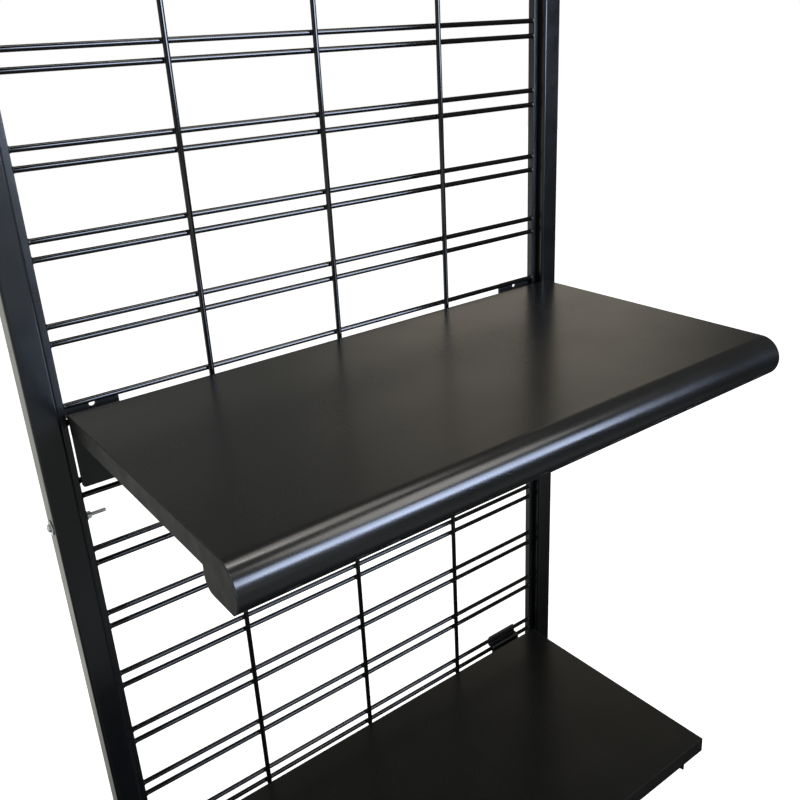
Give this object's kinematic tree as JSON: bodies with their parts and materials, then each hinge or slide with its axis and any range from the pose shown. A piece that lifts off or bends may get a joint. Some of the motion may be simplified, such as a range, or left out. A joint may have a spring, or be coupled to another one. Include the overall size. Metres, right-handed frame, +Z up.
{
  "type": "gondola shelving unit",
  "caption": "Free-standing shelving unit: square posts on levelling legs hold a panel of paired wires; black boards rest on hooked brackets, the upper board with a rounded nose.",
  "frame": {"origin": "on the floor at the middle of the footprint", "axes": "+Z up; the shelves face -Y; +X is to the right as seen from the front"},
  "size_m": [0.671, 0.616, 1.829],
  "materials": {
    "frame_steel": "semi-gloss black powder coat",
    "wire_steel": "glossy black powder coat",
    "bracket_steel": "satin black powder coat",
    "zinc_hardware": "bright zinc plate",
    "cap_plastic": "moulded black",
    "foot_pad": "moulded black",
    "shelf_board": "satin black faced board",
    "shelf_edge": "matt black edge band"
  },
  "bodies": {
    "frame": {"left_post": "frame_steel", "right_post": "frame_steel", "left_post_cap": "cap_plastic", "right_post_cap": "cap_plastic", "left_edge_bar": "frame_steel", "right_edge_bar": "frame_steel", "horizontal_wires": "wire_steel", "vertical_wires": "wire_steel", "panel_bolts": "zinc_hardware", "panel_washers": "zinc_hardware", "panel_nuts": "zinc_hardware", "left_leg": "frame_steel", "right_leg": "frame_steel", "leg_plugs": "cap_plastic", "left_stub": "frame_steel", "right_stub": "frame_steel", "stub_bolts": "zinc_hardware", "stub_nuts": "zinc_hardware", "foot_inserts": "zinc_hardware"},
    "front_left_leveller": {"front_left_foot": "zinc_hardware", "front_left_pad": "foot_pad"},
    "front_right_leveller": {"front_right_foot": "zinc_hardware", "front_right_pad": "foot_pad"},
    "rear_left_leveller": {"rear_left_foot": "zinc_hardware", "rear_left_pad": "foot_pad"},
    "rear_right_leveller": {"rear_right_foot": "zinc_hardware", "rear_right_pad": "foot_pad"},
    "upper_left_bracket": {"upper_left_hook": "bracket_steel", "upper_left_arm": "bracket_steel"},
    "upper_right_bracket": {"upper_right_hook": "bracket_steel", "upper_right_arm": "bracket_steel"},
    "lower_left_bracket": {"lower_left_hook": "bracket_steel", "lower_left_arm": "bracket_steel"},
    "lower_right_bracket": {"lower_right_hook": "bracket_steel", "lower_right_arm": "bracket_steel"},
    "upper_shelf": {"upper_board": "shelf_board", "upper_nose": "shelf_board", "upper_end_bands": "shelf_edge"},
    "lower_shelf": {"lower_board": "shelf_board", "lower_front_band": "shelf_edge", "lower_end_bands": "shelf_edge"}
  },
  "joints": [
    {"name": "front_left_leveller_screw", "type": "slide", "parent": "frame", "child": "front_left_leveller", "axis": [0, 0, -1], "range_m": [0, 0.02]},
    {"name": "front_right_leveller_screw", "type": "slide", "parent": "frame", "child": "front_right_leveller", "axis": [0, 0, -1], "range_m": [0, 0.02]},
    {"name": "rear_left_leveller_screw", "type": "slide", "parent": "frame", "child": "rear_left_leveller", "axis": [0, 0, -1], "range_m": [0, 0.02]},
    {"name": "rear_right_leveller_screw", "type": "slide", "parent": "frame", "child": "rear_right_leveller", "axis": [0, 0, -1], "range_m": [0, 0.02]},
    {"name": "upper_shelf_lift", "type": "slide", "parent": "frame", "child": "upper_shelf", "axis": [0, 0, 1], "range_m": [0, 0.18]},
    {"name": "lower_shelf_lift", "type": "slide", "parent": "frame", "child": "lower_shelf", "axis": [0, 0, 1], "range_m": [0, 0.18]},
    {"name": "upper_left_bracket_unhook", "type": "hinge", "parent": "frame", "child": "upper_left_bracket", "pos_m": [-0.2706, 0.0762, 1.0138], "axis": [-1, 0, 0], "range_deg": [0, 30]},
    {"name": "upper_right_bracket_unhook", "type": "hinge", "parent": "frame", "child": "upper_right_bracket", "pos_m": [0.2713, 0.0762, 1.0138], "axis": [-1, 0, 0], "range_deg": [0, 30]},
    {"name": "lower_left_bracket_unhook", "type": "hinge", "parent": "frame", "child": "lower_left_bracket", "pos_m": [-0.2706, 0.0762, 0.4804], "axis": [-1, 0, 0], "range_deg": [0, 30]},
    {"name": "lower_right_bracket_unhook", "type": "hinge", "parent": "frame", "child": "lower_right_bracket", "pos_m": [0.2464, 0.0762, 0.4804], "axis": [-1, 0, 0], "range_deg": [0, 30]}
  ],
  "couplings": [
    {"joint": "upper_left_bracket_unhook", "follows": "upper_shelf_lift", "rad_per_m": 2.9},
    {"joint": "upper_right_bracket_unhook", "follows": "upper_shelf_lift", "rad_per_m": 2.9},
    {"joint": "lower_left_bracket_unhook", "follows": "lower_shelf_lift", "rad_per_m": 2.9},
    {"joint": "lower_right_bracket_unhook", "follows": "lower_shelf_lift", "rad_per_m": 2.9}
  ]
}
